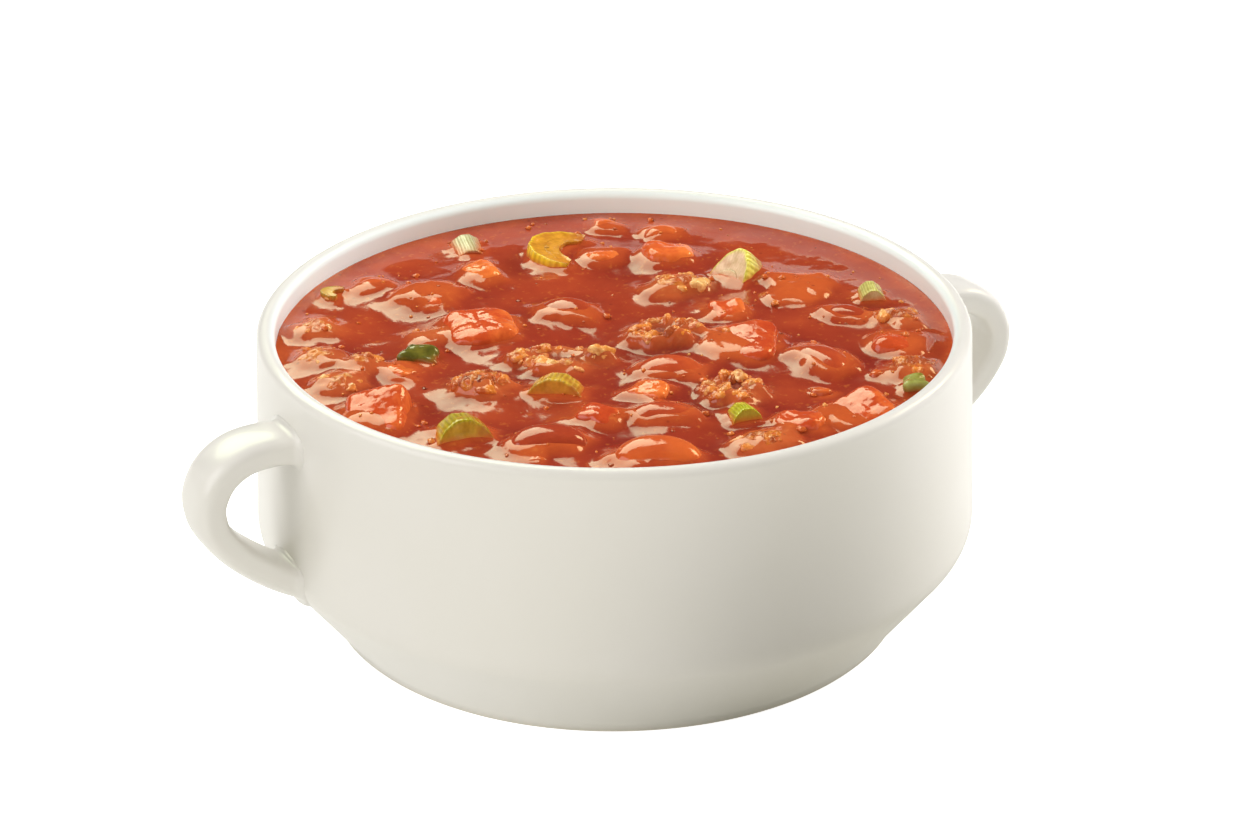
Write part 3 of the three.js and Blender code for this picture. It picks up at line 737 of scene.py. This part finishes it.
def crescentPoints(piece, seed):
    # a slice of ribbed stalk. Around: out along the ribbed outer arc and back along the hollow one.
    # Across: from the middle line of one cut face over its edge and the rim to the middle line of the other
    form = celeryForm
    length, width, thickness = piece["size"]
    half = form["sides"] // 2
    back = np.linspace(np.pi, 0, half, endpoint=False)
    angle = np.concatenate([np.linspace(0, np.pi, half, endpoint=False), back])
    outerSide = np.arange(form["sides"]) < half
    rib = 1 - (1 - form["ribDepth"]) * 0.5 * (1 - np.cos(2 * form["ribs"] * angle))
    outer = np.stack([length / 2 * np.cos(angle) * rib, width * np.sin(angle) * rib], -1)
    inner = np.stack([length * form["innerLength"] * np.cos(angle), width * piece["hollow"] * np.sin(angle)], -1)
    tipEase = np.clip(np.sin(angle) / 0.25, 0, 1)[:, None]
    middle = (outer + inner) / 2
    inner = middle + (inner - middle) * (0.55 + 0.45 * tipEase)
    outer = middle + (outer - middle) * (0.85 + 0.15 * tipEase)
    edge = np.where(outerSide[:, None], outer, inner)
    faceShare = np.linspace(0.02, 0.9, form["faceRings"])
    bend = np.linspace(0, np.pi, form["edgeRings"])
    share = np.concatenate([faceShare, 0.9 + 0.1 * np.sin(bend) ** 0.8, faceShare[::-1]])
    lift = np.concatenate([np.ones(form["faceRings"]), np.cos(bend), -np.ones(form["faceRings"])])
    lift = np.sign(lift) * np.abs(lift) ** 0.45
    flat = middle[None] + (edge - middle)[None] * share[:, None, None]
    dish = 1 - form["dish"] * (1 - share ** 2)
    z = (lift * dish)[:, None] * thickness / 2 + 0 * angle[None]
    points = np.concatenate([flat, z[..., None]], -1)
    outerShare = np.clip((share - 0.72) / 0.2, 0, 1)[:, None] * outerSide[None]
    fibre = 0.5 + 0.5 * np.cos(6 * form["ribs"] * angle)[None] * (0.15 + 0.85 * outerShare)
    top = points[0].mean(0)
    end = points[-1].mean(0)
    points = np.concatenate([[top], points.reshape(-1, 3), [end]])
    fibre = np.concatenate([[0.5], fibre.ravel(), [0.5]])
    rimShare = np.concatenate([[0], outerShare.ravel(), [0]])[:, None]
    paint = np.array(piece["face"]) * (1 - rimShare) + np.array(piece["rim"]) * rimShare
    points += form["rough"] * grain(points, form["roughSize"], seed)[:, None] * np.array([1, 1, 0.6])
    points[:, 1] -= width / 2
    if piece["stands"]:
        points = np.stack([points[:, 0], -points[:, 2], points[:, 1]], -1)
    return points, fibre, paint, ringShell(len(share), form["sides"])


def laid(points, piece):
    # leaned about X, then Y, turned about Z, and set with its top at its rise over the sauce
    a, b = np.radians(piece["lean"])
    aboutX = np.array([[1, 0, 0], [0, math.cos(a), -math.sin(a)], [0, math.sin(a), math.cos(a)]])
    aboutY = np.array([[math.cos(b), 0, math.sin(b)], [0, 1, 0], [-math.sin(b), 0, math.cos(b)]])
    turned = points @ (aboutZ(math.radians(piece["turn"])) @ aboutY @ aboutX).T
    turned[:, 2] += sauceShape["level"] + piece["rise"] - turned[:, 2].max()
    return turned + np.array([*piece["at"], 0])


# Height of the sauce, worked out on a square chart of points
chartCells = 400
chartReach = 58.0
chartStep = 2 * chartReach / chartCells
chartLine = np.linspace(-chartReach, chartReach, chartCells + 1)
chartX, chartY = np.meshgrid(chartLine, chartLine, indexing="ij")
chartPlaces = np.stack([chartX, chartY, 0 * chartX], -1)


def softened(chart, reach):
    # the chart blurred by a bell curve, through its frequencies
    across = np.fft.fftfreq(chart.shape[0], chartStep)[:, None]
    along = np.fft.rfftfreq(chart.shape[1], chartStep)[None, :]
    bell = np.exp(-2 * (np.pi * reach) ** 2 * (across ** 2 + along ** 2))
    return np.fft.irfft2(np.fft.rfft2(chart) * bell, chart.shape)


def widened(chart):
    # each place takes the highest value of itself and its neighbours
    steps = [(dx, dy) for dx in (-1, 0, 1) for dy in (-1, 0, 1)]
    return np.max([np.roll(chart, step, (0, 1)) for step in steps], axis=0)


def stamped(points):
    # highest point of a piece over each place of the chart
    chart = np.full(chartX.shape, -1.0)
    cell = np.clip(np.rint((points[:, :2] + chartReach) / chartStep).astype(int), 0, chartCells)
    np.maximum.at(chart, (cell[:, 0], cell[:, 1]), points[:, 2])
    return widened(chart)


def softMax(first, second, width):
    # the higher of two, with the crease between them rounded over `width`
    return np.maximum(first, second) + width * np.log1p(np.exp(-np.abs(first - second) / width))


def sampled(chart, x, y):
    # the chart's value between its points, by straight blending
    fx = np.clip((x + chartReach) / chartStep, 0, chartCells - 1e-6)
    fy = np.clip((y + chartReach) / chartStep, 0, chartCells - 1e-6)
    i, j = fx.astype(int), fy.astype(int)
    u, v = fx - i, fy - j
    return (chart[i, j] * (1 - u) * (1 - v) + chart[i + 1, j] * u * (1 - v)
            + chart[i, j + 1] * (1 - u) * v + chart[i + 1, j + 1] * u * v)


def restingLevel():
    # low swells over the level, and a creep up the wall
    s = sauceShape
    wall = bowlShape["rimRadius"] - bowlShape["wall"] - s["gap"]
    creep = s["creep"] * np.exp(np.minimum(np.hypot(chartX, chartY) - wall, 1) / s["creepReach"])
    swell = np.sin(chartX * 0.31 + 0.6) * np.cos(chartY * 0.27 - 0.4) + 0.6 * np.sin(chartX * 0.17 - chartY * 0.43)
    ripple = grain(chartPlaces, s["rippleSize"], 3) + 0.5 * grain(chartPlaces, s["rippleSize"] * 0.5, 4)
    calm = 1 - np.exp(-np.maximum(wall - np.hypot(chartX, chartY), 0) / 4)
    return s["level"] + creep + (s["swell"] * swell + s["ripple"] * ripple) * calm


skirtHeights = {"tomato": 0.8, "bean": 0.85, "celery": 0.7, "pepper": 0.5, "meat": 0.8, "bit": 0.4}
meniscusHeights = {"tomato": 0.35, "bean": 0.35, "celery": 0.3, "pepper": 0.3, "meat": 0.35, "bit": 0.2}


def middleSpot(piece):
    # 1 in the middle of a piece, falling away as a bell curve before its ring of crumbs
    x, y = chartX - piece["at"][0], chartY - piece["at"][1]
    turn = math.radians(piece["turn"])
    along = (x * math.cos(turn) + y * math.sin(turn)) / piece["size"][0]
    across = (y * math.cos(turn) - x * math.sin(turn)) / piece["size"][1]
    return np.exp(-18 * (along ** 2 + across ** 2))


def sauceCharts(laidPieces):
    # sauce height, how thin it lies over the food, how much pale fat shows in it, and its painted shade in hollows
    s = sauceShape
    level = restingLevel()
    skirt, meniscus, thin, pale, dent = np.zeros((5, *level.shape))
    veils = []
    for kind, piece, points in laidPieces:
        top = stamped(points)
        over = top > s["level"] + 0.1
        skirt[over] = np.maximum(skirt[over], skirtHeights[kind] * min(1.0, piece["rise"] / 2.2))
        meniscus[over] = np.maximum(meniscus[over], meniscusHeights[kind])
        thin[over] = 1.0
        if kind == "meat":
            pale[over] = s["paleness"]
        if piece.get("open"):
            dent = np.maximum(dent, middleSpot(piece))
        veil = piece.get("veil", 0)
        if veil > 0:
            veils.append((top, piece["rise"] * (veil - 1) + s["veilRound"] * veil))
    skirt = softened(skirt, s["skirtReach"]) * s["blurGain"]
    height = skirt + softened(meniscus, s["meniscusReach"]) * s["blurGain"]
    for top, offset in veils:
        cover = softened(np.maximum(top, s["level"] - 2), s["veilReach"]) + offset
        height = softMax(height, cover - level, s["veilRound"])
    # drawn aside by up to `warp`, and roughened where food lies just beneath
    aside = [s["warp"] * grain(chartPlaces, s["warpSize"], seed) for seed in (21, 22)]
    height = sampled(height, chartX + aside[0], chartY + aside[1])
    near = np.clip(skirt / 0.8, 0, 1)
    fine = grain(chartPlaces, s["unevenSize"] * 0.5, 24)
    uneven = 1 - np.abs(grain(chartPlaces, s["unevenSize"], 23)) * 2 + 0.5 * fine
    height = level + (height + s["uneven"] * near * uneven) * (1 - s["dent"] * dent)
    # thin over the food and along the wall, and painted shade, the hollow chart, where the surface lies below its
    # surroundings and in the middle of open heaps
    radius = np.hypot(chartX, chartY)
    byWall = np.exp(-(55 - np.minimum(radius, 55)) / s["thinReach"])
    thin = np.clip(softened(thin, s["thinReach"]) * 1.1, 0, 1) * 0.52 + byWall * 0.5
    inside = np.where(radius < 54, height, s["level"])
    hollow = np.clip((softened(inside, s["hollowReach"]) - inside) / s["hollowDepth"], 0, 1)
    hollow = np.maximum(hollow * np.clip((53 - radius) / 6, 0, 1), np.clip(dent * 1.5, 0, 1))
    pale = softened(pale, s["paleReach"])
    return height, {"thin": np.clip(thin, 0, 1), "pale": np.clip(pale, 0, 1), "hollow": hollow}


def saucePoints(height):
    # top: a square grid drawn out to a disc, x = u*sqrt(1 - v*v/2), y = v*sqrt(1 - u*u/2), at the chart's height;
    # below it the edge goes down inside the wall to the middle of the floor
    s = sauceShape
    count = s["cells"] + 1
    lip, upper, lower = innerLine(5)
    share = (s["level"] + 0.5 - upper[0, 1]) / (lip[1] - upper[0, 1])
    edgeRadius = upper[0, 0] + (lip[0] - upper[0, 0]) * share + s["edgeSunk"]
    line = np.linspace(-1, 1, count)
    u, v = np.meshgrid(line, line, indexing="ij")
    x = edgeRadius * u * np.sqrt(1 - v * v / 2)
    y = edgeRadius * v * np.sqrt(1 - u * u / 2)
    top = np.stack([x, y, sampled(height, x, y)], -1).reshape(-1, 3)
    i, j = np.meshgrid(np.arange(count - 1), np.arange(count - 1), indexing="ij")
    a = (i * count + j).ravel()
    quads = np.stack([a, a + count, a + count + 1, a + 1], -1)
    k = np.arange(count - 1)
    edge = np.concatenate([k * count, (count - 1) * count + k, count * count - 1 - k * count, count - 1 - k])
    loop = top[edge]
    angle = np.arctan2(loop[:, 1], loop[:, 0])
    clear = s["wallClear"]
    below = np.concatenate([upper, lower])
    below = below[below[:, 0] > 1]
    out = below[:, 0, None] - clear
    rings = np.stack([out * np.cos(angle), out * np.sin(angle), below[:, 1, None] + clear + 0 * angle], -1)
    sides = len(edge)
    start = len(top)
    levels = np.concatenate([edge[None], start + np.arange(len(below) * sides).reshape(len(below), sides)])
    n = (np.arange(sides) + 1) % sides
    ringQuads = np.stack([levels[:-1], levels[1:], levels[1:][:, n], levels[:-1][:, n]], -1).reshape(-1, 4)
    middle = start + len(below) * sides
    tris = np.stack([levels[-1], np.full(sides, middle), levels[-1][n]], -1)
    points = np.concatenate([top, rings.reshape(-1, 3), [[0, 0, below[-1, 1] + clear]]])
    return points, np.concatenate([quads, ringQuads]), tris


# Size is from and to in millimetres, flat is height to width, sunk the share under the sauce, rough the unevenness,
# and near how much more they lie by the food than on open sauce.
crumbKinds = table("name count size flat sunk rough tone near", [
    ("oilBeads", 90, (0.35, 0.75), 0.55, 0.35, 0.0, (0.55, 0.8), 0.5),
    ("spiceFlecks", 80, (0.35, 0.9), 0.25, 0.35, 0.3, (-0.6, 0.1), 0.0),
    ("fineCrumbs", 130, (0.5, 1.6), 0.6, 0.4, 0.35, (0.0, 0.95), 0.8),
])
crumbReach, crumbTries = 53.2, 12


def crumbPoints(spec, seed, height, near):
    # one small ringed shell repeated: turned, scaled and set half into the sauce at seeded random places
    chance = np.random.default_rng(seed)
    ball = directions(4, 9)
    quads, tris = ringShell(4, 9)
    tries = spec["count"] * crumbTries
    radius = crumbReach * np.sqrt(chance.random(tries))
    angle = chance.random(tries) * 2 * np.pi
    x, y = radius * np.cos(angle), radius * np.sin(angle)
    kept = chance.random(tries) < (1 - spec["near"]) * 0.3 + spec["near"] * sampled(near, x, y)
    x, y = x[kept][:spec["count"]], y[kept][:spec["count"]]
    count = len(x)
    size = spec["size"][0] + (spec["size"][1] - spec["size"][0]) * chance.random(count) ** 2
    length, width = 0.7 + 0.6 * chance.random(count), 0.7 + 0.4 * chance.random(count)
    shape = np.stack([length, width, np.full(count, spec["flat"])], -1)
    spin = chance.random(count)[:, None] * 2 * np.pi
    uneven = 1 + spec["rough"] * (chance.random((count, len(ball))) * 2 - 1)
    points = ball[None] * uneven[..., None] * (shape * size[:, None] / 2)[:, None, :]
    px = points[..., 0] * np.cos(spin) - points[..., 1] * np.sin(spin)
    py = points[..., 0] * np.sin(spin) + points[..., 1] * np.cos(spin)
    base = sampled(height, x, y) + (0.5 - spec["sunk"]) * spec["flat"] * size
    points = np.stack([px + x[:, None], py + y[:, None], points[..., 2] + base[:, None]], -1).reshape(-1, 3)
    step = np.arange(count)[:, None, None] * len(ball)
    tone = np.repeat(spec["tone"][0] + (spec["tone"][1] - spec["tone"][0]) * chance.random(count), len(ball))
    return points, (quads[None] + step).reshape(-1, 4), (tris[None] + step).reshape(-1, 3), tone


wet = {"IOR": 1.43, "Coat Weight": 0.3, "Coat Roughness": 0.04, "Coat IOR": 1.34}
materials = {
    "ceramic": makeMaterial("warm white glaze", {
        "IOR": 1.5, "Specular IOR Level": 0.3, "Coat Weight": 0.3, "Coat Roughness": 0.05}, glazeSurface),
    "sauce": makeMaterial("thick tomato sauce", {"IOR": 1.43, "Coat Weight": 0.0}, sauceSurface),
    "tomato": makeMaterial("wet tomato dice", wet, skinSurface(skinLooks["tomato"])),
    "bean": makeMaterial("wet bean skin", wet, skinSurface(skinLooks["bean"])),
    "celery": makeMaterial("wet celery", {
        "IOR": 1.4, "Coat Weight": 0.5, "Coat Roughness": 0.06, "Coat IOR": 1.34}, celerySurface),
    "pepper": makeMaterial("wet green pepper", {
        "IOR": 1.4, "Coat Weight": 0.6, "Coat Roughness": 0.05, "Coat IOR": 1.34},
        skinSurface(skinLooks["pepper"])),
    "meat": makeMaterial("sauced meat crumble", {
        "IOR": 1.42, "Coat Roughness": 0.05, "Coat IOR": 1.36}, meatSurface),
    "crumb": makeMaterial("crumbs in the sauce", {
        "IOR": 1.42, "Coat Weight": 0.3, "Coat Roughness": 0.05, "Coat IOR": 1.34}, crumbSurface),
    "floor": makeMaterial("white table", {
        "Roughness": 0.7, "Specular IOR Level": 0.2, "Emission Strength": 1.0}, floorSurface),
}
print("materials made")

bowl = joined([bowlPoints(), handlePoints(1), handlePoints(-1)])
dress(buildMesh("glazedBowl", *bowl, materials["ceramic"]), ["bowl"])
print("bowl made")

laidPieces = []
for kind, entries in {"tomato": tomatoes, "bean": beans, "celery": celerySlices, "pepper": peppers,
                      "meat": meatCrumbles, "bit": smallBits}.items():
    slot = "tomato" if kind == "bit" else kind
    for i, piece in enumerate(entries):
        seed = len(kind) * 7 + i * 3
        values = {}
        if kind == "celery":
            points, values["fibre"], values["paint"], faces = crescentPoints(piece, seed)
        elif kind == "meat":
            points, values["tone"], values["hollow"], faces = crumblePoints(piece, seed)
        else:
            points, faces = lumpPoints(piece, kind, seed)
            values["tone"] = piece["tone"]
        points = laid(points, piece)
        # painted light: each piece is lighter towards its right side
        values["glow"] = np.clip(towardRight(points, piece) * 2 - 1.1, 0, 1) * 0.9
        made = buildMesh(f"{kind}Piece{i + 1}", points, *faces, materials[slot], values)
        dress(made, [f"{kind}_{i + 1}"])
        laidPieces.append((kind, piece, points))
print("pieces made:", len(laidPieces))

height, charts = sauceCharts(laidPieces)
points, quads, tris = saucePoints(height)
values = {key: sampled(chart, points[:, 0], points[:, 1]) for key, chart in charts.items()}
chili = buildMesh("chiliSauce", points, quads, tris, materials["sauce"], values)
dress(chili, ["chili_sauce"])
print("sauce made")

for i, spec in enumerate(crumbKinds):
    points, quads, tris, tone = crumbPoints(spec, 40 + i, height, charts["thin"])
    dress(buildMesh(spec["name"], points, quads, tris, materials["crumb"], {"tone": tone}), [])
print("crumbs made")


def makeCamera():
    # looks at the rim's centre from above, then turned by its pan, tilt and roll
    back = Vector((0, -math.cos(view["elevation"]), math.sin(view["elevation"])))
    right, ahead = Vector((1, 0, 0)), -back
    down = ahead.cross(right)
    for axis, angle in (("up", view["pan"]), ("right", view["tilt"]), ("ahead", view["roll"])):
        pivot = {"up": Vector((0, 0, 1)), "right": right, "ahead": ahead}[axis].copy()
        turn = Matrix.Rotation(angle, 3, pivot)
        right, down, ahead = turn @ right, turn @ down, turn @ ahead
    toObject = Matrix.Rotation(-view["handleTurn"], 3, "Z")
    columns = [toObject @ right, toObject @ -down, toObject @ -ahead]
    matrix = Matrix([[c[i] for c in columns] for i in range(3)]).to_4x4()
    matrix.translation = toObject @ (back * view["distance"]) + Vector((0, 0, view["rimCentre"]))
    data = bpy.data.cameras.new("camera")
    data.lens = view["focalPixels"] / view["widthPixels"] * data.sensor_width
    data.clip_start = 0.01
    camera = bpy.data.objects.new("camera", data)
    camera.matrix_world = matrix
    bpy.context.collection.objects.link(camera)
    bpy.context.scene.camera = camera


# Lamps: azimuth in the picture's frame, 0 from the camera and 90 from the right, all aimed below the rim's middle.
# A mirrored lamp makes only highlights and a soft one only plain light.
lights = table("name azimuth elevation distance size watts colour only", [
    ("window", 212, 47, 0.9, (0.73, 0.58), 7.6, (0.90, 1, 0.68), "mirrored"),
    ("sky", 212, 47, 0.9, (0.73, 0.58), 5.6, (1, 0.99, 0.98), "soft"),
    ("ceiling", 212, 80, 0.9, (0.8, 0.8), 3.4, (1, 0.99, 0.97), "soft"),
    ("left", -68, 30, 1.2, (0.9, 0.9), 7.1, (1, 0.99, 0.98), None),
    ("front", -16, 24, 1.2, (0.9, 0.9), 1.9, (1, 0.95, 0.82), None),
    ("fill", 30, 28, 1.1, (0.3, 0.3), 3.5, (1, 0.985, 0.95), "soft"),
    ("rightNear", 98, 20, 1.1, (0.25, 0.8), 0.5, (1, 1, 1), "soft"),
    ("rightFar", 124, 20, 1.1, (0.4, 0.8), 12.2, (1, 0.99, 1), "soft"),
    ("glint", 128, 32, 1.0, (0.22, 0.34), 2.4, (1, 0.82, 0.42), "mirrored"),
])
aimHeight = 0.045


def toward(azimuth, elevation=0):
    # unit direction from the bowl, for an azimuth in the picture's frame
    turn, rise = math.radians(azimuth) - view["handleTurn"], math.radians(elevation)
    return Vector((math.sin(turn) * math.cos(rise), -math.cos(turn) * math.cos(rise), math.sin(rise)))


def makeLight(spec):
    away = toward(spec["azimuth"], spec["elevation"])
    data = bpy.data.lights.new(spec["name"], "AREA")
    data.shape = "RECTANGLE"
    data.size, data.size_y = spec["size"]
    data.energy = spec["watts"]
    data.color = spec["colour"]
    lamp = bpy.data.objects.new(spec["name"], data)
    lamp.visible_diffuse = spec["only"] != "mirrored"
    lamp.visible_glossy = spec["only"] != "soft"
    lamp.location = away * spec["distance"] + Vector((0, 0, aimHeight))
    lamp.rotation_euler = away.to_track_quat("Z", "Y").to_euler()
    bpy.context.collection.objects.link(lamp)


def stageSheet(name, points, faces):
    # a sheet of the white table that isn't part of the object
    mesh = bpy.data.meshes.new(name)
    mesh.from_pydata([tuple(point) for point in points], [], faces)
    mesh.materials.append(materials["floor"])
    sheet = bpy.data.objects.new(name, mesh)
    bpy.context.collection.objects.link(sheet)
    return sheet


card = {"azimuth": 28, "distance": 0.16, "width": 0.040, "height": 0.092}


def makeCard():
    # stands between the fill lamp and the bowl, and does nothing but cast the soft band of shade on its wall
    out = toward(card["azimuth"]) * card["distance"]
    across = toward(card["azimuth"] + 90) * card["width"] / 2
    up = Vector((0, 0, card["height"]))
    corners = [out - across, out + across, out + across + up, out - across + up]
    sheet = stageSheet("shadeCard", corners, [(0, 1, 2, 3)])
    sheet.visible_camera = sheet.visible_diffuse = sheet.visible_glossy = sheet.visible_transmission = False


room = {"dim": 0.03, "seen": 1.0}


def makeRoom():
    # the camera sees white; everything else sees a dim grey room
    world = bpy.data.worlds.new("studio")
    world.use_nodes = True
    tree = world.node_tree
    background = tree.nodes["Background"]
    start = Wire(tree, None)
    seen = start.node("ShaderNodeLightPath", {}, {}, "Is Camera Ray")
    start.plug(background.inputs["Strength"], seen * (room["seen"] - room["dim"]) + room["dim"])
    background.inputs["Color"].default_value = (1, 1, 1, 1)
    bpy.context.scene.world = world


def makeFloor():
    # a round sheet with its faces up, for the bowl to stand on
    sides = floorLook["sides"]
    turns = np.linspace(0, 2 * np.pi, sides, endpoint=False)
    ring = floorLook["radius"] * np.stack([np.cos(turns), np.sin(turns), 0 * turns], -1)
    stageSheet("floor", [(0, 0, 0), *ring.tolist()], [(0, 1 + i, 1 + (i + 1) % sides) for i in range(sides)])


makeCamera()
for spec in lights:
    makeLight(spec)
makeCard()
makeRoom()
makeFloor()
bpy.context.scene.view_settings.view_transform = "Standard"
print("camera, lights and floor made")
